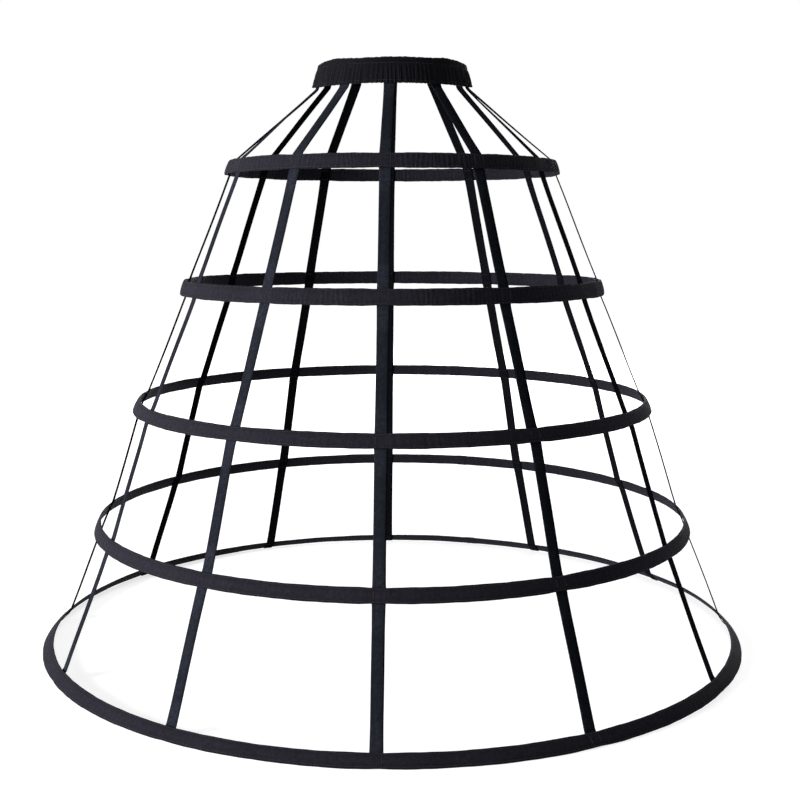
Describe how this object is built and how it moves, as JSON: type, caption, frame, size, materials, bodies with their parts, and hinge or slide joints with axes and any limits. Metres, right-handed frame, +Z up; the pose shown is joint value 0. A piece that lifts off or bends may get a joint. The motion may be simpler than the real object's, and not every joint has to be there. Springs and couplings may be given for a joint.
{
  "type": "crinoline cage",
  "caption": "Black crinoline cage: flat boned hoops in cloth casings, hung on ribbon tapes from a gathered elastic waistband, to hold a skirt out in a bell shape.",
  "frame": {"origin": "on the floor under the middle of the hem hoop", "axes": "+Z up from hem to waist, the wearer's front towards -Y, +X to the right of someone who looks at the front"},
  "size_m": [1.0142, 1.0142, 0.8435],
  "materials": {
    "waist_cloth": "matt woven cloth, gathered",
    "waist_elastic": "ribbed elastic",
    "casing_cloth": "matt woven cloth",
    "ribbon": "grosgrain ribbon with a slight sheen",
    "boning": "smooth",
    "joiner_metal": "plain"
  },
  "bodies": {
    "root": {"waistband_casing": "waist_cloth", "waist_elastic": "waist_elastic", "hoop_1_casing": "casing_cloth", "hoop_1_bone": "boning", "hoop_1_bone_joiner": "joiner_metal", "hoop_2_casing": "casing_cloth", "hoop_2_bone": "boning", "hoop_2_bone_joiner": "joiner_metal", "hoop_3_casing": "casing_cloth", "hoop_3_bone": "boning", "hoop_3_bone_joiner": "joiner_metal", "hoop_4_casing": "casing_cloth", "hoop_4_bone": "boning", "hoop_4_bone_joiner": "joiner_metal", "hoop_5_casing": "casing_cloth", "hoop_5_bone": "boning", "hoop_5_bone_joiner": "joiner_metal", "tape_front": "ribbon", "tape_right_1": "ribbon", "tape_right_2": "ribbon", "tape_right_3": "ribbon", "tape_right_4": "ribbon", "tape_right_5": "ribbon", "tape_left_1": "ribbon", "tape_left_2": "ribbon", "tape_left_3": "ribbon", "tape_left_4": "ribbon", "tape_left_5": "ribbon", "tape_back": "ribbon"}
  },
  "joints": []
}
